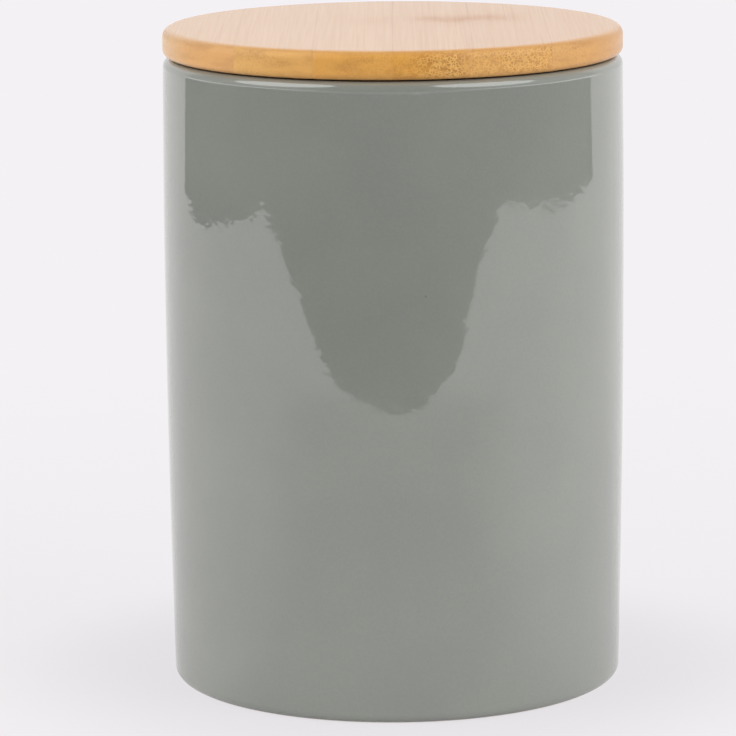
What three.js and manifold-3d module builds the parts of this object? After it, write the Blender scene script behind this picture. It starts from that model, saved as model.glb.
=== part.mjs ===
// A glazed stoneware storage jar with a bamboo lid that is pushed into its mouth.
// Millimetres, +Z up. The origin is the middle of the foot, on the table.
// The lid is a board of three glued plies of bamboo strips, turned to shape: the top ply covers the
// rim, and the two plies below it are the plug, which carries a silicone sealing ring in a groove.
import * as THREE from 'three';
import { mergeVertices } from 'three/addons/utils/BufferGeometryUtils.js';
import Module from 'manifold-3d';

const wasm = await Module();
wasm.setup();

// Jar: its height, its widest radius, and how far the foot and the rim stand in from that
const JAR_HEIGHT = 136.4;
const BELLY_RADIUS = 50;
const BELLY_BELOW_RIM = 41.4;
const FOOT_INSET = 1.1;
const RIM_INSET = 0.3;

// Jar: thicknesses, rounded edges, and the raised ring that it stands on
const WALL_THICKNESS = 5.5;
const FLOOR_THICKNESS = 6;
const RIM_ROUND = 2;
const FOOT_ROUND = 1.8;
const FLOOR_FILLET = 5;
const FOOT_RING_WIDTH = 4.6;
const FOOT_RECESS_DEPTH = 1.6;
const FOOT_RECESS_SLOPE = 1.2;

// Lid: the thickness of each ply, and how many strips of equal width it is glued from
const TOP_PLY = 6.1;
const CORE_PLY = 5;
const BOTTOM_PLY = 5;
const TOP_STRIPS = 6;
const CORE_STRIPS = 5;
const BOTTOM_STRIPS = 5;

// Lid: what is turned on it
const LID_UPPER_ROUND = 2;
const LID_LOWER_ROUND = 1.6;
const PLUG_ROUND = 1.5;
const GROOVE_HEIGHT = 4.6;
const GROOVE_DEPTH = 3;

// Sealing ring: a band that fills the groove, with fins that wipe the mouth
const FIN_COUNT = 2;
const FIN_ROOT = 0.9;
const FIN_TIP = 0.5;
const FIN_RISE = 0.5;

// Gaps: the plug in the mouth, the lid on the rim, and the ring in its groove and in the mouth
const PLUG_CLEARANCE = 2;
const SEAT_GAP = 0.3;
const RING_GAP = 0.3;

// How finely the round shapes are divided, and the most of a wall that a rounded edge may take
const TURN_STEPS = 72;
const ROUND_STEPS = 4;
const WALL_STEPS = 6;
const ROUND_SHARE = 0.4;

const FOOT_RADIUS = BELLY_RADIUS - FOOT_INSET;
const RIM_RADIUS = BELLY_RADIUS - RIM_INSET;
const MOUTH_RADIUS = RIM_RADIUS - WALL_THICKNESS;
const PLUG_RADIUS = MOUTH_RADIUS - PLUG_CLEARANCE;
const PLUG_DEPTH = CORE_PLY + BOTTOM_PLY;
const GROOVE_RADIUS = PLUG_RADIUS - GROOVE_DEPTH;
const GROOVE_MIDDLE = (PLUG_ROUND - PLUG_DEPTH) / 2;

const glaze = { color: 0x8b8d86, roughness: 0.15, metalness: 0 };
const bamboo = { color: 0xd9a865, roughness: 0.55, metalness: 0 };
const silicone = { color: 0xe8e8e4, roughness: 0.5, metalness: 0 };

// A half section, with the radius across and the height up, collected stretch by stretch
class Profile {
  constructor(radius, height) {
    this.points = [new THREE.Vector2(radius, height)];
  }

  to(radius, height) {
    this.points.push(new THREE.Vector2(radius, height));
    return this;
  }

  // A quarter circle to the new point, which it sets out for either across or upright.
  quarter(radius, height, direction) {
    const start = this.points.at(-1);
    const end = new THREE.Vector2(radius, height);
    const centre = direction === 'across'
      ? new THREE.Vector2(start.x, end.y)
      : new THREE.Vector2(end.x, start.y);
    for (let step = 1; step <= ROUND_STEPS; step += 1) {
      const angle = (step / ROUND_STEPS) * Math.PI / 2;
      this.points.push(centre.clone()
        .addScaledVector(start.clone().sub(centre), Math.cos(angle))
        .addScaledVector(end.clone().sub(centre), Math.sin(angle)));
    }
    return this;
  }

  // A slow curve to the new point, which is upright where it has the upright radius.
  bow(radius, height, uprightRadius) {
    const start = this.points.at(-1);
    const end = new THREE.Vector2(radius, height);
    const control = new THREE.Vector2(uprightRadius, (start.y + end.y) / 2);
    const curve = new THREE.QuadraticBezierCurve(start, control, end);
    this.points.push(...curve.getPoints(WALL_STEPS).slice(1));
    return this;
  }

  // The solid that the half section sweeps about the Z axis
  turned() {
    return new THREE.LatheGeometry(this.points, TURN_STEPS).rotateX(Math.PI / 2);
  }
}

function named(name, geometry, finish) {
  const mesh = new THREE.Mesh(geometry, new THREE.MeshStandardMaterial(finish));
  mesh.name = name;
  return mesh;
}

// A closed geometry as a solid that can be cut
function solidOf(geometry) {
  const bare = geometry.clone();
  bare.deleteAttribute('normal');
  bare.deleteAttribute('uv');
  const merged = mergeVertices(bare);
  const triangles = [];
  for (let first = 0; first < merged.index.count; first += 3) {
    const [a, b, c] = [0, 1, 2].map((corner) => merged.index.getX(first + corner));
    if (a !== b && b !== c && c !== a) triangles.push(a, b, c);
  }
  return new wasm.Manifold(new wasm.Mesh({
    numProp: 3,
    vertProperties: merged.attributes.position.array,
    triVerts: new Uint32Array(triangles),
  }));
}

function geometryOf(solid) {
  const mesh = solid.getMesh();
  const geometry = new THREE.BufferGeometry();
  geometry.setAttribute('position', new THREE.BufferAttribute(mesh.vertProperties, 3));
  geometry.setIndex(new THREE.BufferAttribute(mesh.triVerts, 1));
  geometry.computeVertexNormals();
  return geometry;
}

// All that lies between two places along one axis, well past the lid the other ways
function between(axis, low, high) {
  const size = new THREE.Vector3().setScalar(4 * RIM_RADIUS);
  const middle = new THREE.Vector3();
  size[axis] = high - low;
  middle[axis] = (low + high) / 2;
  return solidOf(new THREE.BoxGeometry(...size).translate(...middle));
}

// A round ply sawn into strips of equal width, with one mesh for each. The outer ones end at the lid's side.
function strips(name, ply, radius, count, axis) {
  const width = 2 * radius / count;
  return Array.from({ length: count }, (_, index) => {
    const low = index === 0 ? -2 * radius : index * width - radius;
    const high = index === count - 1 ? 2 * radius : (index + 1) * width - radius;
    const strip = ply.intersect(between(axis, low, high));
    return named(`${name}_${index + 1}`, geometryOf(strip), bamboo);
  });
}

// The jar: a slightly bellied wall of even thickness on a recessed foot, with a rounded rim,
// and straight inside the mouth for as deep as the plug goes
function jarBody() {
  const rimRound = Math.min(RIM_ROUND, ROUND_SHARE * WALL_THICKNESS);
  const shoulder = JAR_HEIGHT - rimRound;
  const belly = JAR_HEIGHT - BELLY_BELOW_RIM;
  const mouthEnd = JAR_HEIGHT + SEAT_GAP - PLUG_DEPTH;
  const floor = FOOT_RECESS_DEPTH + FLOOR_THICKNESS;
  const footInside = FOOT_RADIUS - WALL_THICKNESS;
  const bellyInside = BELLY_RADIUS - WALL_THICKNESS;
  const ringInside = FOOT_RADIUS - FOOT_ROUND - FOOT_RING_WIDTH;
  const profile = new Profile(0, FOOT_RECESS_DEPTH)
    .to(ringInside - FOOT_RECESS_SLOPE, FOOT_RECESS_DEPTH)
    .to(ringInside, 0)
    .to(FOOT_RADIUS - FOOT_ROUND, 0)
    .quarter(FOOT_RADIUS, FOOT_ROUND, 'across')
    .bow(BELLY_RADIUS, belly, BELLY_RADIUS)
    .bow(RIM_RADIUS, shoulder, BELLY_RADIUS)
    .quarter(RIM_RADIUS - rimRound, JAR_HEIGHT, 'upright')
    .to(MOUTH_RADIUS + rimRound, JAR_HEIGHT)
    .quarter(MOUTH_RADIUS, shoulder, 'across')
    .to(MOUTH_RADIUS, mouthEnd)
    .bow(bellyInside, belly, bellyInside)
    .bow(footInside, floor + FLOOR_FILLET, bellyInside)
    .quarter(footInside - FLOOR_FILLET, floor, 'upright')
    .to(0, floor);
  return named('jar_body', profile.turned(), glaze);
}

// The top ply, as wide as the rim, with its underside at height 0 and its strips along Y
function topStrips() {
  const upperRound = Math.min(LID_UPPER_ROUND, ROUND_SHARE * TOP_PLY);
  const lowerRound = Math.min(LID_LOWER_ROUND, ROUND_SHARE * TOP_PLY);
  const profile = new Profile(0, 0)
    .to(RIM_RADIUS - lowerRound, 0)
    .quarter(RIM_RADIUS, lowerRound, 'across')
    .to(RIM_RADIUS, TOP_PLY - upperRound)
    .quarter(RIM_RADIUS - upperRound, TOP_PLY, 'upright')
    .to(0, TOP_PLY);
  return strips('lid_top_strip', solidOf(profile.turned()), RIM_RADIUS, TOP_STRIPS, 'x');
}

// The core ply, crossed so that the lid stays flat, and the bottom ply, laid as the top one is.
// The ring's groove is turned into the side of both.
function plugStrips() {
  const grooveFloor = GROOVE_MIDDLE - GROOVE_HEIGHT / 2;
  const grooveRoof = GROOVE_MIDDLE + GROOVE_HEIGHT / 2;
  const profile = new Profile(0, -PLUG_DEPTH)
    .to(PLUG_RADIUS - PLUG_ROUND, -PLUG_DEPTH)
    .quarter(PLUG_RADIUS, PLUG_ROUND - PLUG_DEPTH, 'across')
    .to(PLUG_RADIUS, grooveFloor)
    .to(GROOVE_RADIUS, grooveFloor)
    .to(GROOVE_RADIUS, grooveRoof)
    .to(PLUG_RADIUS, grooveRoof)
    .to(PLUG_RADIUS, 0)
    .to(0, 0);
  const plug = solidOf(profile.turned());
  const core = plug.intersect(between('z', -CORE_PLY, PLUG_DEPTH));
  const bottom = plug.intersect(between('z', -2 * PLUG_DEPTH, -CORE_PLY));
  return [
    ...strips('lid_core_strip', core, PLUG_RADIUS, CORE_STRIPS, 'y'),
    ...strips('lid_bottom_strip', bottom, PLUG_RADIUS, BOTTOM_STRIPS, 'x'),
  ];
}

// The sealing ring, with its fins bent up as they are once the lid has been pushed in
function sealRing() {
  const inside = GROOVE_RADIUS + RING_GAP;
  const finTip = MOUTH_RADIUS - RING_GAP;
  const height = GROOVE_HEIGHT - 2 * RING_GAP;
  const low = GROOVE_MIDDLE - height / 2;
  const profile = new Profile(inside, low).to(PLUG_RADIUS, low);
  for (let fin = 0; fin < FIN_COUNT; fin += 1) {
    const middle = low + (fin + 0.5) * height / FIN_COUNT;
    profile
      .to(PLUG_RADIUS, middle - FIN_ROOT / 2)
      .to(finTip, middle + FIN_RISE - FIN_TIP / 2)
      .to(finTip, middle + FIN_RISE + FIN_TIP / 2)
      .to(PLUG_RADIUS, middle + FIN_ROOT / 2);
  }
  profile.to(PLUG_RADIUS, low + height).to(inside, low + height).to(inside, low);
  return named('seal_ring', profile.turned(), silicone);
}

const lid = new THREE.Group();
lid.position.z = JAR_HEIGHT + SEAT_GAP;
lid.add(...topStrips(), ...plugStrips(), sealRing());

const storageJar = new THREE.Group();
storageJar.add(jarBody(), lid);

export default storageJar;
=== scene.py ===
from math import cos, hypot, pi, radians, sin

import bmesh
import bpy
from mathutils import Matrix, Vector


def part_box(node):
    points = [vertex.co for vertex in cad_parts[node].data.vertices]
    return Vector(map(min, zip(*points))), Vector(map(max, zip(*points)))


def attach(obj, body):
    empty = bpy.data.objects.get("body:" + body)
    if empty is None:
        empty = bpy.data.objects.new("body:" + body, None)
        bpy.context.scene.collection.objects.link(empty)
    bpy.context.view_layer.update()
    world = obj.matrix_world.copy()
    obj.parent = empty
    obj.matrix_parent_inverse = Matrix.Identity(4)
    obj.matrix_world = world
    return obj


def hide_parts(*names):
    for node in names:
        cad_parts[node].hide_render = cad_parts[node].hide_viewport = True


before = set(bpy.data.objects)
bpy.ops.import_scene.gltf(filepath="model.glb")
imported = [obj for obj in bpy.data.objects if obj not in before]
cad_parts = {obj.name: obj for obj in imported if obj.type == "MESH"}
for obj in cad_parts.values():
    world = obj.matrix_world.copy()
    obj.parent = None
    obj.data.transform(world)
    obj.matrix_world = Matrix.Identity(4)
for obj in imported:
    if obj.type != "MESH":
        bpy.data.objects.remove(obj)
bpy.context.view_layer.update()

# The jar is one pot of cast stoneware, fired with a smooth sage-grey glaze inside and out.
# Its wall bows out by about a millimetre, the lip is rolled over, and the ring that it
# stands on is wiped free of glaze, so that the pot doesn't stick to the kiln shelf.
MM = 0.001
jar_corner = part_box("jar_body")[1]
JAR_HEIGHT = jar_corner.z
BELLY_RADIUS = jar_corner.x
BELLY_HEIGHT = 95 * MM
FOOT_INSET = 1.1 * MM
RIM_INSET = 0.3 * MM
JAR_WALL = 5.5 * MM
JAR_FLOOR = 7.6 * MM
MOUTH_END = 126.7 * MM
LIP_ROUND = 2 * MM
FOOT_ROUND = 1.8 * MM
FLOOR_FILLET = 5 * MM
FOOT_RING_INNER = 42.5 * MM
FOOT_RECESS_RADIUS = 41.3 * MM
FOOT_RECESS_DEPTH = 1.6 * MM
RING_EASE = 0.5 * MM
EDGE_HOLD = 0.25 * MM
WALL_LOOPS = 24
LIP_STEPS = 12
FOOT_STEPS = 8
RING_STEPS = 4
FILLET_STEPS = 10
LATHE_STEPS = 192
SAME_PLACE = 0.002 * MM
SHARP_ANGLE = radians(40)


def lathe(section, closed=False):
    """Spins a half section of (radius, height) corners once round the jar's axis."""
    turned = bmesh.new()
    corners = [turned.verts.new((radius, 0, height)) for radius, height in section]
    followers = corners[1:] + corners[:1] if closed else corners[1:]
    lines = [turned.edges.new(pair) for pair in zip(corners, followers)]
    bmesh.ops.spin(turned, geom=corners + lines, cent=(0, 0, 0), axis=(0, 0, 1), dvec=(0, 0, 0),
                   angle=2 * pi, steps=LATHE_STEPS, use_merge=True)
    bmesh.ops.remove_doubles(turned, verts=turned.verts, dist=SAME_PLACE)
    bmesh.ops.recalc_face_normals(turned, faces=turned.faces)
    return turned


def round_over(turned, radius, height, size, steps):
    """Rounds the edge that runs round the axis at one radius and height."""
    def on_edge(corner):
        off_radius = abs(hypot(corner.co.x, corner.co.y) - radius)
        return max(off_radius, abs(corner.co.z - height)) < SAME_PLACE
    edge = [line for line in turned.edges if all(on_edge(corner) for corner in line.verts)]
    bmesh.ops.bevel(turned, geom=edge, offset=size, affect="EDGES", segments=steps, profile=0.5,
                    material=-1, clamp_overlap=True)


def place(shape, name, finish, body, node):
    """Makes a finished piece that stands for one solid and moves with that solid's body."""
    mesh = bpy.data.meshes.new(name)
    shape.to_mesh(mesh)
    shape.free()
    mesh.shade_smooth()
    mesh.set_sharp_from_angle(angle=SHARP_ANGLE)
    mesh.materials.append(finish)
    piece = bpy.data.objects.new(name, mesh)
    bpy.context.scene.collection.objects.link(piece)
    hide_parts(node)
    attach(piece, body)


def bow(height, foot, shoulder):
    """How far the wall has drawn in from the belly at a height."""
    if height < BELLY_HEIGHT:
        return FOOT_INSET * ((BELLY_HEIGHT - height) / (BELLY_HEIGHT - foot)) ** 2
    return RIM_INSET * ((height - BELLY_HEIGHT) / (shoulder - BELLY_HEIGHT)) ** 2


def jar_outside(height):
    """The radius of the jar's outer face at a height."""
    return BELLY_RADIUS - bow(height, 0, JAR_HEIGHT)


def jar_inside(height):
    """The radius of the jar's inner face at a height."""
    return BELLY_RADIUS - JAR_WALL - bow(height, JAR_FLOOR, MOUTH_END)


def spaced(low, high, count):
    """Heights from low to high, in equal steps."""
    return [low + (high - low) * step / count for step in range(count + 1)]


OUTSIDE_HEIGHTS = spaced(FOOT_ROUND + EDGE_HOLD, JAR_HEIGHT - LIP_ROUND - EDGE_HOLD, WALL_LOOPS)
INSIDE_HEIGHTS = spaced(JAR_FLOOR + FLOOR_FILLET + EDGE_HOLD, MOUTH_END, WALL_LOOPS)
FOOT_RADIUS = jar_outside(0)
RIM_RADIUS = jar_outside(JAR_HEIGHT)
MOUTH_RADIUS = jar_inside(MOUTH_END)
FLOOR_RADIUS = jar_inside(JAR_FLOOR)
jar = lathe(
    [(0, FOOT_RECESS_DEPTH), (FOOT_RECESS_RADIUS - RING_EASE - EDGE_HOLD, FOOT_RECESS_DEPTH),
     (FOOT_RECESS_RADIUS, FOOT_RECESS_DEPTH), (FOOT_RING_INNER, 0),
     (FOOT_RING_INNER + RING_EASE + EDGE_HOLD, 0), (FOOT_RADIUS - FOOT_ROUND - EDGE_HOLD, 0),
     (FOOT_RADIUS, 0)]
    + [(jar_outside(height), height) for height in OUTSIDE_HEIGHTS]
    + [(RIM_RADIUS, JAR_HEIGHT), (RIM_RADIUS - LIP_ROUND - EDGE_HOLD, JAR_HEIGHT),
       (MOUTH_RADIUS + LIP_ROUND + EDGE_HOLD, JAR_HEIGHT), (MOUTH_RADIUS, JAR_HEIGHT),
       (MOUTH_RADIUS, JAR_HEIGHT - LIP_ROUND - EDGE_HOLD)]
    + [(jar_inside(height), height) for height in reversed(INSIDE_HEIGHTS)]
    + [(FLOOR_RADIUS, JAR_FLOOR), (FLOOR_RADIUS - FLOOR_FILLET - EDGE_HOLD, JAR_FLOOR),
       (0, JAR_FLOOR)])
round_over(jar, FOOT_RADIUS, 0, FOOT_ROUND, FOOT_STEPS)
round_over(jar, FOOT_RING_INNER, 0, RING_EASE, RING_STEPS)
round_over(jar, FOOT_RECESS_RADIUS, FOOT_RECESS_DEPTH, RING_EASE, RING_STEPS)
round_over(jar, RIM_RADIUS, JAR_HEIGHT, LIP_ROUND, LIP_STEPS)
round_over(jar, MOUTH_RADIUS, JAR_HEIGHT, LIP_ROUND, LIP_STEPS)
round_over(jar, FLOOR_RADIUS, JAR_FLOOR, FLOOR_FILLET, FILLET_STEPS)


def screen(red, green, blue):
    """A colour given in 0 to 255 screen values, as the linear light that shaders take."""
    shares = [value / 255 for value in (red, green, blue)]
    return [s / 12.92 if s <= 0.04045 else ((s + 0.055) / 1.055) ** 2.4 for s in shares] + [1.0]


def grey(level):
    """A neutral colour, as linear light."""
    return (level, level, level, 1)


def put(tree, kind, inputs=None, **settings):
    """Adds a node, with its inputs set to values or joined to other nodes' outputs."""
    added = tree.nodes.new(kind)
    for name, value in settings.items():
        setattr(added, name, value)
    for socket, value in (inputs or {}).items():
        if isinstance(value, bpy.types.NodeSocket):
            tree.links.new(value, added.inputs[socket])
        else:
            added.inputs[socket].default_value = value
    return added


def work_out(tree, operation, first, second=0.0):
    """One step of arithmetic on one or two values."""
    return put(tree, "ShaderNodeMath", {0: first, 1: second}, operation=operation).outputs["Value"]


def plus(tree, first, second):
    return work_out(tree, "ADD", first, second)


def minus(tree, first, second):
    return work_out(tree, "SUBTRACT", first, second)


def times(tree, first, second):
    return work_out(tree, "MULTIPLY", first, second)


def vector_step(tree, operation, first, second=(0, 0, 0)):
    """One step of arithmetic on places or directions."""
    return put(tree, "ShaderNodeVectorMath", {0: first, 1: second}, operation=operation).outputs


def part_of(tree, vector, axis):
    """A place's own X, Y or Z."""
    return put(tree, "ShaderNodeSeparateXYZ", {"Vector": vector}).outputs[axis]


def from_axis(tree, spot):
    """How far a place is from the jar's axis."""
    level = vector_step(tree, "MULTIPLY", spot, (1, 1, 0))[0]
    return vector_step(tree, "LENGTH", level)["Value"]


def noise(tree, vector, scale, detail=2.0):
    """A soft random value between 0 and 1, with features about 1 / scale across."""
    return put(tree, "ShaderNodeTexNoise",
               {"Vector": vector, "Scale": scale, "Detail": detail}).outputs["Fac"]


def ramp(tree, value, start, end, low=0.0, high=1.0):
    """Carries a value smoothly from low to high as it goes from start to end."""
    return put(tree, "ShaderNodeMapRange",
               {"Value": value, "From Min": start, "From Max": end, "To Min": low, "To Max": high},
               interpolation_type="SMOOTHSTEP").outputs["Result"]


NOISE_SPREAD = (0.3, 0.7)


def patches(tree, vector, scale, detail, low=0.0, high=1.0):
    """Soft patches that cover about half of a surface and run from low to high."""
    return ramp(tree, noise(tree, vector, scale, detail), *NOISE_SPREAD, low, high)


def blend(tree, share, first, second):
    """Mixes two colours, the second by its share."""
    mixer = put(tree, "ShaderNodeMix", {"Factor": share}, data_type="RGBA")
    for socket, value in zip([s for s in mixer.inputs if s.type == "RGBA"], (first, second)):
        if isinstance(value, bpy.types.NodeSocket):
            tree.links.new(value, socket)
        else:
            socket.default_value = value
    return [s for s in mixer.outputs if s.type == "RGBA"][0]


def chance_of(tree, cells):
    """One random value between 0 and 1 for each cell of a cell pattern."""
    return put(tree, "ShaderNodeSeparateColor", {"Color": cells.outputs["Color"]}).outputs["Red"]


def new_finish(name):
    """An empty material, its shader, and the coordinates of the piece that wears it."""
    finish = bpy.data.materials.new(name)
    finish.use_nodes = True
    tree = finish.node_tree
    shader = tree.nodes["Principled BSDF"]
    spot = put(tree, "ShaderNodeTexCoord").outputs["Object"]
    return finish, tree, shader, spot


GLAZE = screen(134, 138, 130)
GLAZE_THICK = screen(130, 134, 127)
GLAZE_THIN = screen(160, 157, 145)
BARE_STONEWARE = screen(226, 216, 200)
SANDY_STONEWARE = screen(204, 190, 168)
PINHOLE = screen(92, 92, 84)
GLAZE_IOR = 1.9
GLOSSIEST = 0.022
DULLEST = 0.045
CLOUDS_PER_METRE = 38
SPECKS_PER_METRE = 1900
SPECK_SPREAD = (0.25, 0.75)
SPECK_SHARE = 0.12
THIN_LIP = 1.2 * MM
THINNEST_LIP = 0.1 * MM
LIP_SHARE = 0.5
PINHOLES_PER_METRE = 160
PINHOLE_EDGE = (0.03, 0.05)
PINHOLE_CHANCE = 0.05
PINHOLE_SHARE = 0.45
PINHOLE_DEPTH = 0.12
BARE_FOOT_HEIGHT = 0.35 * MM
BARE_FOOT_SURE = 0.21 * MM
BARE_FOOT_INNER = 42.1 * MM
BARE_FOOT_FADE = 0.2 * MM
BARE_ROUGHNESS = 0.75
SAND_PER_METRE = 900
SAND_SPREAD = (0.35, 0.75)
SAND_SHARE = 0.35
GRIT_PER_METRE = 2600
GRIT_DEPTH = 0.2
SHEEN_PATCHES_PER_METRE = 60
SWELLS_PER_METRE = 55
RIPPLES_PER_METRE = 420
RIPPLE_DEPTH = 0.12
PEEL_PER_METRE = 900
PEEL_DEPTH = 0.02
SKIN_DEPTH = 0.09 * MM
glaze, tree, shader, spot = new_finish("sage_grey_glaze")
height = part_of(tree, spot, "Z")
radius = from_axis(tree, spot)
colour = blend(tree, patches(tree, spot, CLOUDS_PER_METRE, 3), GLAZE, GLAZE_THICK)
specks = ramp(tree, noise(tree, spot, SPECKS_PER_METRE), *SPECK_SPREAD, 0.0, SPECK_SHARE)
colour = blend(tree, specks, colour, GLAZE_THIN)
lip = ramp(tree, height, JAR_HEIGHT - THIN_LIP, JAR_HEIGHT - THINNEST_LIP, 0.0, LIP_SHARE)
colour = blend(tree, lip, colour, GLAZE_THIN)
cells = put(tree, "ShaderNodeTexVoronoi", {"Vector": spot, "Scale": PINHOLES_PER_METRE})
pinhole = ramp(tree, cells.outputs["Distance"], *PINHOLE_EDGE, 1.0, 0.0)
pinhole = times(tree, pinhole, work_out(tree, "LESS_THAN", chance_of(tree, cells), PINHOLE_CHANCE))
colour = blend(tree, times(tree, pinhole, PINHOLE_SHARE), colour, PINHOLE)
low_down = ramp(tree, height, BARE_FOOT_SURE, BARE_FOOT_HEIGHT, 1.0, 0.0)
bare = times(tree, low_down, ramp(tree, radius, BARE_FOOT_INNER - BARE_FOOT_FADE, BARE_FOOT_INNER))
sand = ramp(tree, noise(tree, spot, SAND_PER_METRE, 4), *SAND_SPREAD, 0.0, SAND_SHARE)
colour = blend(tree, bare, colour, blend(tree, sand, BARE_STONEWARE, SANDY_STONEWARE))
tree.links.new(colour, shader.inputs["Base Color"])
gloss = patches(tree, spot, SHEEN_PATCHES_PER_METRE, 2, GLOSSIEST, DULLEST)
tree.links.new(plus(tree, gloss, times(tree, bare, BARE_ROUGHNESS)), shader.inputs["Roughness"])
shader.inputs["IOR"].default_value = GLAZE_IOR
waves = noise(tree, spot, SWELLS_PER_METRE, 1)
waves = plus(tree, waves, times(tree, noise(tree, spot, RIPPLES_PER_METRE, 1), RIPPLE_DEPTH))
waves = plus(tree, waves, times(tree, noise(tree, spot, PEEL_PER_METRE, 1), PEEL_DEPTH))
waves = minus(tree, waves, times(tree, pinhole, PINHOLE_DEPTH))
grit = times(tree, bare, noise(tree, spot, GRIT_PER_METRE, 3))
waves = plus(tree, waves, times(tree, grit, GRIT_DEPTH))
skin = put(tree, "ShaderNodeBump", {"Strength": 1.0, "Distance": SKIN_DEPTH, "Height": waves})
tree.links.new(skin.outputs["Normal"], shader.inputs["Normal"])
place(jar, "stoneware_jar", glaze, "jar", "jar_body")

# The lid is a round board glued up from three plies of bamboo strips, the middle one
# turned across the other two so that the board stays flat. The wide top ply is turned
# on a lathe with soft edges, sanded and lacquered.
LID_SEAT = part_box("lid_top_strip_1")[0].z
LID_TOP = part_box("lid_top_strip_1")[1].z
LID_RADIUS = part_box("lid_top_strip_4")[1].y
LID_UPPER_ROUND = 2 * MM
LID_LOWER_ROUND = 1.6 * MM
UPPER_STEPS = 10
LOWER_STEPS = 8
JOINT_EASE = 0.02 * MM


def strip_of(board, low, high, direction):
    """Cuts a strip out of a turned board, between two joint lines square to a direction."""
    for line, keep_above in ((low, True), (high, False)):
        cut = bmesh.ops.bisect_plane(board, geom=board.verts[:] + board.edges[:] + board.faces[:],
                                     dist=SAME_PLACE, plane_co=direction * line, plane_no=direction,
                                     clear_inner=keep_above, clear_outer=not keep_above)
        rim = [part for part in cut["geom_cut"] if isinstance(part, bmesh.types.BMEdge)]
        if rim:
            joint = bmesh.ops.holes_fill(board, edges=rim, sides=0)["faces"]
            around = list({edge for face in joint for edge in face.edges})
            bmesh.ops.bevel(board, geom=around, offset=JOINT_EASE, affect="EDGES", segments=1,
                            profile=0.5, material=-1, clamp_overlap=True)
    bmesh.ops.recalc_face_normals(board, faces=board.faces)
    return board


# Each pattern of the grain has so many features in a metre across the fibres, along them
# and, where a third is given, up through the board.
TONE_BANDS = (150, 4)
FIBRES = (2300, 26)
BUNDLES = (1000, 7)
FLECK_BREAKS = (1000, 11)
CLUMPS = (220, 5)
MOTTLE = (150, 5, 420)
NODE_WANDER = (110, 10)
NODE_PATCHES = (140, 6)
BUNDLES_IN_PATTERN = 1.6
BREAKS_IN_PATTERN = 1.1
BENDS_IN_PATTERN = 0.8
BUNDLE_BEND = 1.1
FEWEST_BUNDLES = 0.15
BUNDLE_REACH = 0.2
DENSE_BUNDLE_REACH = 0.18
BUNDLE_EDGE = 0.14
BUNDLE_SHARE = 0.06
CUT_BUNDLE_SHARE = 0.08
DEEPENED_SHARE = 0.56
FIBRE_SPREAD = (0.3, 0.75)
FIBRE_SHARE = 0.08
MOTTLE_SPREAD = (0.4, 0.7)
MOTTLE_SHARE = 0.26
CLUMP_SPREAD = (0.35, 0.6)
THINNEST_CLUMP = 0.6
FLECK_NET = (0.06, 0.24)
FLECK_SHARE = 0.78
FLECK_BREAK = (0.3, 0.48)
NODE_SWAY = 14 * MM
NODE_PATCH_SPREAD = (0.28, 0.52)
NODE_CORE = (1 * MM, 7 * MM)
NODE_CORE_SHARE = 0.65
NODE_SWELLING = (4 * MM, 16 * MM)
NODE_SWELLING_SHARE = 0.5
SANDED_ROUGHNESS = 0.28
FIBRE_ROUGHNESS = 0.16
BUNDLE_ROUGHNESS = 0.05
BUNDLE_PIT = 0.5
SUNK_SHARE = 0.75


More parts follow.
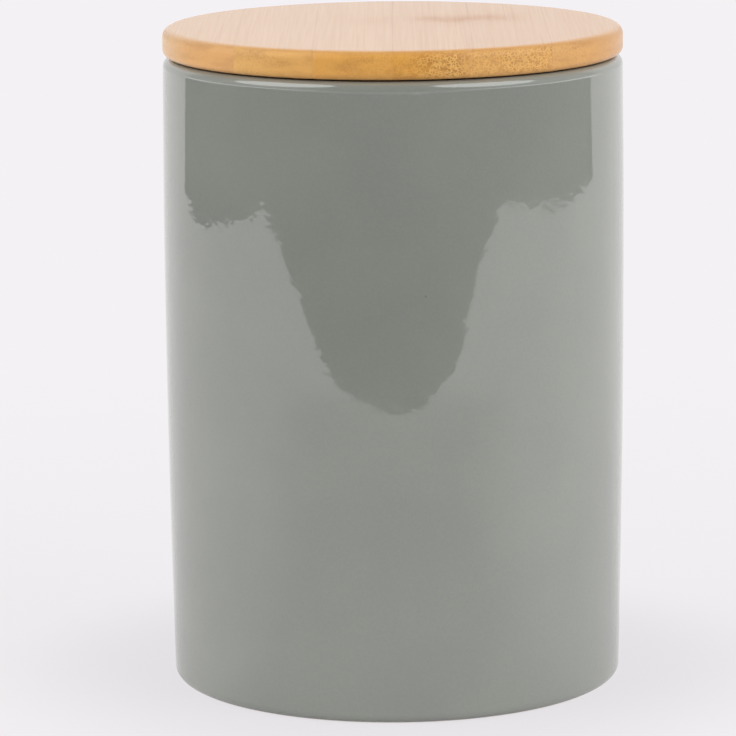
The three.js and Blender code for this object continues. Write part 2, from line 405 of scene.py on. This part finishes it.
def bamboo_grain():
    """Bamboo as a solid: long fibres along Y, and dark bundles that show as dots on a cut end."""
    grain = bpy.data.node_groups.new("bamboo_grain", "ShaderNodeTree")
    inputs = {"Vector": "Vector", "Pale": "Color", "Honey": "Color", "Dark": "Color", "Side Grain": "Color",
              "Cut End": "Color", "Fleck": "Color", "Scar": "Color", "Rim Share": "Float",
              "End Share": "Float", "Bundles": "Float", "Node Place": "Float", "Node Depth": "Float"}
    outputs = {"Colour": "Color", "Roughness": "Float", "Height": "Float", "Sunk Lacquer": "Float"}
    for way, sockets in (("INPUT", inputs), ("OUTPUT", outputs)):
        for name, kind in sockets.items():
            grain.interface.new_socket(name, in_out=way, socket_type="NodeSocket" + kind)
    given = put(grain, "NodeGroupInput").outputs

    def stretched(across, along, upward=None):
        """The place in the bamboo, counted in a pattern's own features."""
        scale = (across, along, upward or across)
        return put(grain, "ShaderNodeMapping", {"Vector": given["Vector"], "Scale": scale}).outputs["Vector"]

    bands = patches(grain, stretched(*TONE_BANDS), 1, 2)
    fibres = noise(grain, stretched(*FIBRES), 1, 3)

    straight = stretched(*BUNDLES)
    bends = put(grain, "ShaderNodeTexNoise", {"Vector": straight, "Scale": BENDS_IN_PATTERN, "Detail": 1.0})
    bend = vector_step(grain, "MULTIPLY", bends.outputs["Color"], (BUNDLE_BEND, 0, BUNDLE_BEND))[0]
    pattern = {"Vector": vector_step(grain, "ADD", straight, bend)[0], "Scale": BUNDLES_IN_PATTERN}
    cells = put(grain, "ShaderNodeTexVoronoi", pattern)
    nets = put(grain, "ShaderNodeTexVoronoi", pattern, feature="DISTANCE_TO_EDGE")
    present = work_out(grain, "LESS_THAN", chance_of(grain, cells),
                       plus(grain, given["Bundles"], FEWEST_BUNDLES))
    reach = plus(grain, times(grain, given["Bundles"], DENSE_BUNDLE_REACH), BUNDLE_REACH)
    inside = minus(grain, reach, cells.outputs["Distance"])
    bundle = times(grain, present, ramp(grain, inside, -BUNDLE_EDGE, BUNDLE_EDGE))

    clump = ramp(grain, noise(grain, stretched(*CLUMPS), 1, 1), *CLUMP_SPREAD, THINNEST_CLUMP, 1.0)
    cut_bundles = times(grain, times(grain, given["End Share"], given["Bundles"]), clump)
    between = ramp(grain, nets.outputs["Distance"], *FLECK_NET, FLECK_SHARE, 0.0)
    broken = ramp(grain, noise(grain, stretched(*FLECK_BREAKS), BREAKS_IN_PATTERN, 1), *FLECK_BREAK)
    fleck = times(grain, cut_bundles, times(grain, broken, between))
    mottle = ramp(grain, noise(grain, stretched(*MOTTLE), 1, 2), *MOTTLE_SPREAD, 0.0, MOTTLE_SHARE)

    colour = blend(grain, bands, given["Pale"], given["Honey"])
    colour = blend(grain, given["Rim Share"], colour, given["Side Grain"])
    colour = blend(grain, given["End Share"], colour, given["Cut End"])
    colour = blend(grain, ramp(grain, fibres, *FIBRE_SPREAD, 0.0, FIBRE_SHARE), colour, given["Dark"])
    strength = plus(grain, times(grain, given["End Share"], CUT_BUNDLE_SHARE), BUNDLE_SHARE)
    colour = blend(grain, times(grain, bundle, strength), colour, given["Dark"])
    colour = blend(grain, times(grain, mottle, given["Rim Share"]), colour, given["Dark"])
    deepened = times(grain, cut_bundles, times(grain, given["Bundles"], DEEPENED_SHARE))
    colour = blend(grain, deepened, colour, given["Dark"])
    colour = blend(grain, fleck, colour, given["Fleck"])

    along = part_of(grain, given["Vector"], "Y")
    sway = minus(grain, noise(grain, stretched(*NODE_WANDER), 1, 2), 0.5)
    from_node = plus(grain, minus(grain, along, given["Node Place"]), times(grain, sway, NODE_SWAY))
    from_node = work_out(grain, "ABSOLUTE", from_node)
    patchy = ramp(grain, noise(grain, stretched(*NODE_PATCHES), 1, 1), *NODE_PATCH_SPREAD)
    core = times(grain, ramp(grain, from_node, *NODE_CORE, NODE_CORE_SHARE, 0.0), patchy)
    swelling = ramp(grain, from_node, *NODE_SWELLING, NODE_SWELLING_SHARE, 0.0)
    scar = times(grain, plus(grain, core, swelling), given["Node Depth"])
    colour = blend(grain, scar, colour, given["Scar"])

    rough = plus(grain, times(grain, fibres, FIBRE_ROUGHNESS), times(grain, bundle, BUNDLE_ROUGHNESS))
    put(grain, "NodeGroupOutput", {
        "Colour": colour,
        "Roughness": plus(grain, rough, SANDED_ROUGHNESS),
        "Height": minus(grain, fibres, times(grain, bundle, BUNDLE_PIT)),
        "Sunk Lacquer": times(grain, scar, SUNK_SHARE)})
    return grain


STRAW = screen(229, 174, 110)
OAT = screen(225, 169, 104)
CORN = screen(224, 164, 95)
AMBER = screen(219, 157, 76)
SIDE = screen(213, 164, 102)
# A browner side grain, darkened further as painted shade on the lid's right end.
RUSSET_SHADED_SIDE = screen(198, 143, 75)
STRAW_END = screen(227, 174, 100)
WHEAT_END = screen(224, 168, 90)
HONEY_END = screen(221, 161, 77)
AMBER_END = screen(217, 155, 66)
CORN_END = screen(222, 166, 93)
OCHRE_END = screen(210, 157, 93)
DARK_FIBRE = screen(150, 94, 40)
FLECK = screen(236, 186, 104)
SCAR = screen(182, 106, 20)
GLUE = screen(148, 98, 48)
RIM_START = 1.4 * MM
RIM_FULL = 0.05 * MM
CUT_ACROSS = (0.25, 0.7)
DENSE_FROM = 0.4
THINNING_FROM = 0.65
FAR_TONE_START = -0.2
FAR_TONE_FULL = 0.9
NODE_DARK_FROM = 0.3
GLUE_START = 0.3 * MM
GLUE_FULL = 0.02 * MM
FLAT_GLUE_SHARE = 0.16
RIM_GLUE_SHARE = 0.05
CUT_END_ROUGHNESS = 0.15
BAMBOO_IOR = 1.5
FLAT_LACQUER = 0.75
RIM_LACQUER = 0.3
LACQUER_SOAKED_IN = 0.25
LACQUER_ROUGHNESS = 0.2
PORE_DEPTH = 0.05 * MM
PORE_STRENGTH = 0.28
NO_NODE = (0.0, 0.0, 1)
grain = bamboo_grain()


def bamboo_finish(name, rim, middle, half, across_x, shift, pale, honey, cut_end, bundles, side_grain=SIDE,
                  dense_side=1, thin_share=0.1, dense_end=1.0, far_end=None, node=NO_NODE):
    """One strip's finish: its own tones, and a thin glue line at each long side.

    The bundles get denser towards one side of the strip, where the cut end may change tone
    and the bundles may thin out again. A node has a place along the strip, a depth of colour
    and the side on which it is darkest.
    """
    finish, tree, shader, spot = new_finish(name)
    turn = 0 if across_x else pi / 2
    turned = put(tree, "ShaderNodeMapping", {"Vector": spot, "Rotation": (0, 0, turn)}).outputs["Vector"]
    radius = from_axis(tree, spot)
    sides = part_of(tree, spot, "X" if across_x else "Y")
    across_fibres = work_out(tree, "DIVIDE", work_out(tree, "ABSOLUTE", part_of(tree, turned, "Y")), radius)
    at_rim = ramp(tree, radius, rim - RIM_START, rim - RIM_FULL)
    end_share = times(tree, at_rim, ramp(tree, across_fibres, *CUT_ACROSS))
    reach = dense_side * half
    density = ramp(tree, sides, middle - reach, middle + DENSE_FROM * reach, thin_share * bundles, bundles)
    thinning = ramp(tree, sides, middle + THINNING_FROM * reach, middle + reach, 1.0, dense_end)
    far_share = ramp(tree, sides, middle + FAR_TONE_START * reach, middle + FAR_TONE_FULL * reach)
    node_place, node_depth, node_side = node
    node_reach = node_side * half
    strip = put(tree, "ShaderNodeGroup", node_tree=grain)
    for socket, value in {"Pale": pale, "Honey": honey, "Dark": DARK_FIBRE, "Side Grain": side_grain,
                          "Fleck": FLECK, "Scar": SCAR, "Node Place": node_place}.items():
        strip.inputs[socket].default_value = value
    for socket, value in {
            "Vector": vector_step(tree, "ADD", turned, (shift, 0, shift / 3))[0],
            "Cut End": blend(tree, far_share, cut_end, far_end or cut_end),
            "Rim Share": at_rim,
            "End Share": end_share,
            "Bundles": times(tree, density, thinning),
            "Node Depth": ramp(tree, sides, middle - node_reach, middle + NODE_DARK_FROM * node_reach,
                               0.0, node_depth),
            }.items():
        tree.links.new(value, strip.inputs[socket])
    off_middle = work_out(tree, "ABSOLUTE", minus(tree, sides, middle))
    glue = ramp(tree, off_middle, half - GLUE_START, half - GLUE_FULL)
    glue = times(tree, glue, ramp(tree, at_rim, 0.0, 1.0, FLAT_GLUE_SHARE, RIM_GLUE_SHARE))
    tree.links.new(blend(tree, glue, strip.outputs["Colour"], GLUE), shader.inputs["Base Color"])
    dry = plus(tree, strip.outputs["Roughness"], times(tree, end_share, CUT_END_ROUGHNESS))
    tree.links.new(dry, shader.inputs["Roughness"])
    shader.inputs["IOR"].default_value = BAMBOO_IOR
    lacquer = ramp(tree, at_rim, 0.0, 1.0, FLAT_LACQUER, RIM_LACQUER)
    lacquer = minus(tree, lacquer, times(tree, end_share, LACQUER_SOAKED_IN))
    lacquer = minus(tree, lacquer, strip.outputs["Sunk Lacquer"])
    tree.links.new(lacquer, shader.inputs["Coat Weight"])
    shader.inputs["Coat Roughness"].default_value = LACQUER_ROUGHNESS
    pores = put(tree, "ShaderNodeBump", {"Strength": PORE_STRENGTH, "Distance": PORE_DEPTH,
                                         "Height": strip.outputs["Height"]})
    tree.links.new(pores.outputs["Normal"], shader.inputs["Normal"])
    return finish


def ply(kind, section, rounds, strips, rim, across_x):
    """Turns a ply, cuts it into strips and dresses each strip as its solid's own piece."""
    direction = Vector((1, 0, 0)) if across_x else Vector((0, 1, 0))
    for number, strip in enumerate(strips, start=1):
        solid = f"lid_{kind}_strip_{number}"
        low, high = (corner.dot(direction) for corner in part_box(solid))
        board = lathe(section)
        for edge in rounds:
            round_over(board, *edge)
        finish = bamboo_finish(f"bamboo_{kind}_{number}", rim, (low + high) / 2, (high - low) / 2,
                               across_x, **strip)
        place(strip_of(board, low, high, direction), f"bamboo_{kind}_strip_{number}", finish,
              "lid", solid)


ply("top",
    [(0, LID_SEAT), (LID_RADIUS - LID_LOWER_ROUND - EDGE_HOLD, LID_SEAT), (LID_RADIUS, LID_SEAT),
     (LID_RADIUS, LID_SEAT + LID_LOWER_ROUND + EDGE_HOLD),
     (LID_RADIUS, LID_TOP - LID_UPPER_ROUND - EDGE_HOLD), (LID_RADIUS, LID_TOP),
     (LID_RADIUS - LID_UPPER_ROUND - EDGE_HOLD, LID_TOP), (0, LID_TOP)],
    [(LID_RADIUS, LID_TOP, LID_UPPER_ROUND, UPPER_STEPS),
     (LID_RADIUS, LID_SEAT, LID_LOWER_ROUND, LOWER_STEPS)],
    [dict(shift=0.31, pale=STRAW, honey=OAT, cut_end=OAT, bundles=0.12),
     dict(shift=0.73, pale=STRAW, honey=OAT, cut_end=WHEAT_END, far_end=STRAW_END, bundles=0.45,
          dense_side=-1, dense_end=0.6),
     dict(shift=1.17, pale=STRAW, honey=OAT, cut_end=HONEY_END, bundles=0.3, node=(11 * MM, 0.12, 1)),
     dict(shift=1.59, pale=STRAW, honey=CORN, cut_end=AMBER_END, far_end=CORN_END, bundles=0.95,
          thin_share=0.3, dense_end=0.7, node=(11 * MM, 0.4, 1)),
     dict(shift=2.03, pale=OAT, honey=CORN, cut_end=CORN_END, bundles=0.8, thin_share=0.8,
          node=(13 * MM, 0.34, -1)),
     # The last strip's side grain: its own browner tone, with painted shade on the lid's right end.
     dict(shift=2.41, pale=OAT, honey=CORN, side_grain=RUSSET_SHADED_SIDE, cut_end=OCHRE_END, bundles=0.3,
          dense_side=-1)],
    LID_RADIUS, across_x=True)

# The plug under the lid is the two narrower plies, turned to drop into the mouth.
# A groove is cut round their joint, and it holds the sealing ring.
PLUG_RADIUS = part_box("lid_core_strip_3")[1].x
PLUG_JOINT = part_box("lid_core_strip_1")[0].z
PLUG_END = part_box("lid_bottom_strip_1")[0].z
GROOVE_RADIUS = 39.2 * MM
GROOVE_FLOOR = 130.15 * MM
GROOVE_ROOF = 134.75 * MM
PLUG_ROUND = 1.5 * MM
ply("core",
    [(0, PLUG_JOINT), (GROOVE_RADIUS, PLUG_JOINT), (GROOVE_RADIUS, GROOVE_ROOF), (PLUG_RADIUS, GROOVE_ROOF),
     (PLUG_RADIUS, LID_SEAT), (0, LID_SEAT)],
    [],
    [dict(shift=3.07, pale=OAT, honey=CORN, cut_end=CORN, bundles=0.4),
     dict(shift=3.49, pale=STRAW, honey=CORN, cut_end=CORN, bundles=0.5),
     dict(shift=3.83, pale=CORN, honey=AMBER, cut_end=AMBER, bundles=0.6),
     dict(shift=4.21, pale=OAT, honey=CORN, cut_end=CORN, bundles=0.3),
     dict(shift=4.67, pale=STRAW, honey=OAT, cut_end=STRAW, bundles=0.5)],
    PLUG_RADIUS, across_x=False)
ply("bottom",
    [(0, PLUG_END), (PLUG_RADIUS - PLUG_ROUND - EDGE_HOLD, PLUG_END), (PLUG_RADIUS, PLUG_END),
     (PLUG_RADIUS, PLUG_END + PLUG_ROUND + EDGE_HOLD), (PLUG_RADIUS, GROOVE_FLOOR),
     (GROOVE_RADIUS, GROOVE_FLOOR), (GROOVE_RADIUS, PLUG_JOINT), (0, PLUG_JOINT)],
    [(PLUG_RADIUS, PLUG_END, PLUG_ROUND, LOWER_STEPS)],
    [dict(shift=5.03, pale=STRAW, honey=OAT, cut_end=STRAW, bundles=0.3),
     dict(shift=5.41, pale=OAT, honey=CORN, cut_end=CORN, bundles=0.5, node=(-14 * MM, 0.3, 1)),
     dict(shift=5.87, pale=STRAW, honey=CORN, cut_end=CORN, bundles=0.2),
     dict(shift=6.19, pale=CORN, honey=AMBER, cut_end=AMBER, bundles=0.5),
     dict(shift=6.61, pale=STRAW, honey=OAT, cut_end=STRAW, bundles=0.4, node=(9 * MM, 0.3, -1))],
    PLUG_RADIUS, across_x=True)

# The seal is one ring of milky silicone, moulded with two thin fins that bend up and
# press on the inside of the mouth. It is stretched over the plug into its groove.
SEAL_INNER = 39.5 * MM
SEAL_OUTER = PLUG_RADIUS
seal_low, seal_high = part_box("seal_ring")
FIN_REACH = seal_high.x
FIN_ROOT = 0.9 * MM
FIN_TIP = 0.5 * MM
FIN_RISE = 0.5 * MM
FIN_MIDDLES = [131.45 * MM, 133.45 * MM]
FIN_TIP_ROUND = 0.2 * MM
SEAL_INNER_ROUND = 0.3 * MM
SEAL_OUTER_ROUND = 0.2 * MM
SEAL_STEPS = 3
fin_side = []
for middle in FIN_MIDDLES:
    fin_side += [(SEAL_OUTER, middle - FIN_ROOT / 2), (FIN_REACH, middle + FIN_RISE - FIN_TIP / 2),
                 (FIN_REACH, middle + FIN_RISE + FIN_TIP / 2), (SEAL_OUTER, middle + FIN_ROOT / 2)]
seal = lathe([(SEAL_INNER, seal_low.z), (SEAL_OUTER, seal_low.z)] + fin_side
             + [(SEAL_OUTER, seal_high.z), (SEAL_INNER, seal_high.z)], closed=True)
for middle in FIN_MIDDLES:
    for side in (-1, 1):
        round_over(seal, FIN_REACH, middle + FIN_RISE + side * FIN_TIP / 2, FIN_TIP_ROUND, SEAL_STEPS)
for height in (seal_low.z, seal_high.z):
    round_over(seal, SEAL_INNER, height, SEAL_INNER_ROUND, SEAL_STEPS)
    round_over(seal, SEAL_OUTER, height, SEAL_OUTER_ROUND, SEAL_STEPS)

SILICONE = screen(226, 226, 219)
SILICONE_CLOUD = screen(214, 213, 204)
DUST = screen(186, 180, 166)
SILICONE_CLOUDS_PER_METRE = 130
DUST_PER_METRE = 2400
DUST_SPREAD = (0.62, 0.75)
DUST_SHARE = 0.25
SATIN_PATCHES_PER_METRE = 700
SATIN_ROUGHNESS = (0.42, 0.56)
SATIN_PER_METRE = 3000
SATIN_DEPTH = 0.02 * MM
SATIN_STRENGTH = 0.3
SILICONE_IOR = 1.41
MILKINESS = 0.2
MILKY_REACH = (1.0, 0.9, 0.8)
MILKY_DEPTH = 0.8 * MM
silicone, tree, shader, spot = new_finish("milky_silicone")
colour = blend(tree, patches(tree, spot, SILICONE_CLOUDS_PER_METRE, 3), SILICONE, SILICONE_CLOUD)
dust = ramp(tree, noise(tree, spot, DUST_PER_METRE), *DUST_SPREAD, 0.0, DUST_SHARE)
tree.links.new(blend(tree, dust, colour, DUST), shader.inputs["Base Color"])
satin_patches = patches(tree, spot, SATIN_PATCHES_PER_METRE, 2, *SATIN_ROUGHNESS)
tree.links.new(satin_patches, shader.inputs["Roughness"])
shader.inputs["IOR"].default_value = SILICONE_IOR
shader.inputs["Subsurface Weight"].default_value = MILKINESS
shader.inputs["Subsurface Radius"].default_value = MILKY_REACH
shader.inputs["Subsurface Scale"].default_value = MILKY_DEPTH
satin = put(tree, "ShaderNodeBump", {"Strength": SATIN_STRENGTH, "Distance": SATIN_DEPTH,
                                     "Height": noise(tree, spot, SATIN_PER_METRE)})
tree.links.new(satin.outputs["Normal"], shader.inputs["Normal"])
place(seal, "silicone_seal", silicone, "seal", "seal_ring")

# The floor is a wide sheet of white paper. It is one-sided and open under the jar, so that the
# foot can be seen from below. Seen directly or in the glaze it glows an even white, with a painted
# shade near the jar, where it also keeps a little of the jar's real shadow. In the glaze it also
# shows a painted shade in front of the jar and a painted brighter patch behind it.
PAPER = screen(228, 226, 229)
PAPER_CLOUD = screen(226, 224, 227)
PAPER_CLOUDS_PER_METRE = 3
PAPER_SIZE = 3.0
PAPER_WHITE = screen(244, 241, 244)
# Painted shade: the paper's glow is darker near the jar.
PAINTED_PAPER_SHADE = screen(234, 231, 234)
# Painted light in the glaze: the paper behind the jar, as mirrors see it.
PAINTED_BRIGHT_BEHIND = (1.0, 0.985, 1.0, 1)
FLOOR_DROP = 0.05 * MM
UNDER_JAR = 47 * MM
NEAR_JAR = 0.05
CLEAR_OF_JAR = 0.10
FAR_FROM_JAR = 0.40
EVEN_NEAR = 0.85
# Painted shade in the glaze: how much the paper in front of the jar is dimmed.
FRONT_DIMMING = 0.33
FRONT_DIM_END = (0.34, 0.44)
FRONT_WAYS = (-0.9, -0.4)
BACK_WAYS = (0.5, 0.8)
PAPER_ROUGHNESS = 0.9
PAPER_SHINE = 0.1
floor_shape = bmesh.new()
bmesh.ops.create_grid(floor_shape, x_segments=1, y_segments=1, size=PAPER_SIZE,
                      matrix=Matrix.Translation((0, 0, -FLOOR_DROP)))
paper, tree, shader, spot = new_finish("white_paper")
clouds = patches(tree, spot, PAPER_CLOUDS_PER_METRE, 2)
tree.links.new(blend(tree, clouds, PAPER, PAPER_CLOUD), shader.inputs["Base Color"])
shader.inputs["Roughness"].default_value = PAPER_ROUGHNESS
shader.inputs["Specular IOR Level"].default_value = PAPER_SHINE
from_jar = vector_step(tree, "LENGTH", spot)["Value"]
rays = put(tree, "ShaderNodeLightPath").outputs
seen = work_out(tree, "MAXIMUM", rays["Is Camera Ray"], rays["Is Glossy Ray"])
seen = work_out(tree, "MAXIMUM", seen, rays["Is Transmission Ray"])
even = times(tree, seen, ramp(tree, from_jar, NEAR_JAR, FAR_FROM_JAR, EVEN_NEAR, 1.0))
# Painted shade near the jar, in the glow that is seen directly and in the glaze.
shade = blend(tree, ramp(tree, from_jar, NEAR_JAR, CLEAR_OF_JAR), PAINTED_PAPER_SHADE, PAPER_WHITE)
backwards = work_out(tree, "DIVIDE", part_of(tree, spot, "Y"), from_jar)
# Painted shade in the glaze: glossy rays see the paper in front of the jar dimmer.
in_front = ramp(tree, backwards, *FRONT_WAYS, 1.0, 0.0)
in_front = times(tree, in_front, ramp(tree, from_jar, *FRONT_DIM_END, FRONT_DIMMING, 0.0))
shade = blend(tree, times(tree, in_front, rays["Is Glossy Ray"]), shade, grey(0))
# Painted light in the glaze: glossy rays see the paper behind the jar brighter.
behind = ramp(tree, backwards, *BACK_WAYS)
shade = blend(tree, times(tree, behind, rays["Is Glossy Ray"]), shade, PAINTED_BRIGHT_BEHIND)
glow = put(tree, "ShaderNodeEmission", {"Color": shade}).outputs["Emission"]
lit = put(tree, "ShaderNodeMixShader", {0: even, 1: shader.outputs["BSDF"], 2: glow}).outputs["Shader"]
from_below = put(tree, "ShaderNodeNewGeometry").outputs["Backfacing"]
clear = put(tree, "ShaderNodeBsdfTransparent").outputs["BSDF"]
open_part = work_out(tree, "MAXIMUM", from_below, work_out(tree, "LESS_THAN", from_jar, UNDER_JAR))
laid = put(tree, "ShaderNodeMixShader", {0: open_part, 1: lit, 2: clear}).outputs["Shader"]
tree.links.new(laid, tree.nodes["Material Output"].inputs["Surface"])


def stand(shape, name, finish):
    """Puts a finished shape in the studio, where it isn't part of the jar."""
    mesh = bpy.data.meshes.new(name)
    shape.to_mesh(mesh)
    shape.free()
    mesh.materials.append(finish)
    stood = bpy.data.objects.new(name, mesh)
    bpy.context.scene.collection.objects.link(stood)
    return stood


stand(floor_shape, "paper_floor", paper)

# Dim cards lie on the floor from the paper's edge outwards. Only the glaze sees them, and they
# are a painted reflection of the dark room round the paper: they glow faintly, more so further out.
# The outline is the paper's edge, from the left at the back, round the front, to the right at the back.
PAPER_OUTLINE = [(-0.655, 0.44), (-0.735, 0.05), (-0.745, -0.335), (-0.60, -0.402), (-0.40, -0.402),
                 (-0.25, -0.376), (-0.12, -0.361), (-0.05, -0.3655), (0.0, -0.3715), (0.05, -0.3685),
                 (0.10, -0.367), (0.15, -0.376), (0.20, -0.395), (0.42, -0.482), (0.655, -0.502),
                 (0.73, -0.40), (0.79, -0.05), (0.785, 0.12), (0.76, 0.34)]
ROOM_SPREAD = 4
# Painted reflection of the room's light: the cards glow faintly near the paper and more further out.
NEAR_ROOM_GLOW = grey(0.04)
FAR_ROOM_GLOW = grey(0.13)
ROOM_FADE = (0.65, 0.95)
CARD_LIFT = 0.3 * MM
dim_room, tree, shader, spot = new_finish("dim_room")
shader.inputs["Base Color"].default_value = grey(0)
shader.inputs["Roughness"].default_value = 1.0
shader.inputs["Specular IOR Level"].default_value = 0.0
shader.inputs["Emission Strength"].default_value = 1.0
from_jar = vector_step(tree, "LENGTH", spot)["Value"]
tree.links.new(blend(tree, ramp(tree, from_jar, *ROOM_FADE), NEAR_ROOM_GLOW, FAR_ROOM_GLOW),
               shader.inputs["Emission Color"])
card_shape = bmesh.new()
corners = [card_shape.verts.new((x, y, CARD_LIFT)) for x, y in PAPER_OUTLINE]
edges = [card_shape.edges.new(pair) for pair in zip(corners, corners[1:])]
spread = bmesh.ops.extrude_edge_only(card_shape, edges=edges)["geom"]
bmesh.ops.scale(card_shape, vec=(ROOM_SPREAD, ROOM_SPREAD, 1),
                verts=[part for part in spread if isinstance(part, bmesh.types.BMVert)])
cards = stand(card_shape, "dim_room_cards", dim_room)
for ray in ("camera", "transmission", "shadow", "volume_scatter"):
    setattr(cards, f"visible_{ray}", False)

# Two soft boxes stand in front of the jar, to its left and right. The glaze and the lacquer
# mirror two plain patches in the world in their place, so that no pale face goes white.
AIM = Vector((0, 0, 0.07))
LAMP_DISTANCE = 1.25
LAMP_WIDTH = 1.22
LAMP_HEIGHT = 1.0
LAMP_RISE = 29
LAMPS = [("left_softbox", -63, 6.8), ("right_softbox", 51, 8.6)]


def towards_lamp(turn, rise):
    """The direction of a lamp, turned from the front and raised, in degrees."""
    flat = cos(radians(rise))
    return Vector((sin(radians(turn)) * flat, -cos(radians(turn)) * flat, sin(radians(rise))))


for name, turn, power in LAMPS:
    lamp = bpy.data.lights.new(name, "AREA")
    lamp.shape = "ELLIPSE"
    lamp.size = LAMP_WIDTH
    lamp.size_y = LAMP_HEIGHT
    lamp.energy = power
    softbox = bpy.data.objects.new(name, lamp)
    softbox.location = AIM + towards_lamp(turn, LAMP_RISE) * LAMP_DISTANCE
    softbox.rotation_euler = (AIM - softbox.location).to_track_quat("-Z", "Y").to_euler()
    softbox.visible_glossy = False
    bpy.context.scene.collection.objects.link(softbox)

# The world is the rest of the studio: a dim room in front, pale walls at the sides and a pale
# backdrop. Above the horizon, mirrors see dimmer walls and the two patches that are the soft boxes.
ROOM = (0.13, 0.13, 0.135, 1)
LEFT_WALL = grey(1.5)
RIGHT_WALL = grey(1.7)
UPPER_WALL = grey(0.5)
UNDER_FLOOR = grey(0.75)
BACKDROP = (0.9, 0.89, 0.9, 1)
BACKDROP_SEEN = (0.9, 0.885, 0.905, 1)
WALL_START = 0.4
WALL_FULL = 0.9
BACKDROP_EDGE = (0.45, 0.65)
UNDER_FLOOR_EDGE = (-0.4, -0.25)
MIRROR_EDGE = (0.02, 0.12)
PATCH_TURNS = [-72, 59]
PATCH_RISE = 45
PATCH_ANGLE = 21
PATCH_EDGE = 3
PATCH_GLOW = grey(2.5)
world = bpy.data.worlds.new("studio")
bpy.context.scene.world = world
world.use_nodes = True
tree = world.node_tree
towards = put(tree, "ShaderNodeTexCoord").outputs["Generated"]
ways = put(tree, "ShaderNodeSeparateXYZ", {"Vector": towards}).outputs
at_back = ramp(tree, ways["Y"], *BACKDROP_EDGE)
around = blend(tree, ramp(tree, ways["X"], -WALL_FULL, -WALL_START, 1.0, 0.0), ROOM, LEFT_WALL)
around = blend(tree, ramp(tree, ways["X"], WALL_START, WALL_FULL), around, RIGHT_WALL)
around = blend(tree, at_back, around, BACKDROP)
around = blend(tree, ramp(tree, ways["Z"], *UNDER_FLOOR_EDGE, 1.0, 0.0), around, UNDER_FLOOR)
sideways = work_out(tree, "ABSOLUTE", ways["X"])
upper = blend(tree, ramp(tree, sideways, WALL_START, WALL_FULL), ROOM, UPPER_WALL)
upper = blend(tree, at_back, upper, BACKDROP)
for turn in PATCH_TURNS:
    nearness = vector_step(tree, "DOT_PRODUCT", towards, towards_lamp(turn, PATCH_RISE))["Value"]
    patch = ramp(tree, nearness, cos(radians(PATCH_ANGLE + PATCH_EDGE)), cos(radians(PATCH_ANGLE)))
    upper = blend(tree, patch, upper, PATCH_GLOW)
mirrored = blend(tree, ramp(tree, ways["Z"], *MIRROR_EDGE), around, upper)
rays = put(tree, "ShaderNodeLightPath").outputs
around = blend(tree, rays["Is Glossy Ray"], around, mirrored)
around = blend(tree, rays["Is Camera Ray"], around, BACKDROP_SEEN)
tree.links.new(around, tree.nodes["Background"].inputs["Color"])

# The camera is a metre in front of the jar, on a long lens, and a little above its lid.
# It looks down at the jar by about ten degrees, turned and rolled by less than one.
LENS = 227.4
SENSOR = 36
CAMERA_PLACE = (0, -1.0, 0.254)
PITCH = 0.1844
YAW = 0.0059
ROLL = -0.0085
camera_data = bpy.data.cameras.new("camera")
camera_data.lens = LENS
camera_data.sensor_width = SENSOR
camera = bpy.data.objects.new("camera", camera_data)
bpy.context.scene.collection.objects.link(camera)
down = Matrix.Rotation(pi / 2 - PITCH, 4, "X")
camera.rotation_euler = (Matrix.Rotation(YAW, 4, "Z") @ down @ Matrix.Rotation(ROLL, 4, "Z")).to_euler()
camera.location = CAMERA_PLACE
bpy.context.scene.camera = camera
bpy.context.scene.view_settings.view_transform = "Standard"
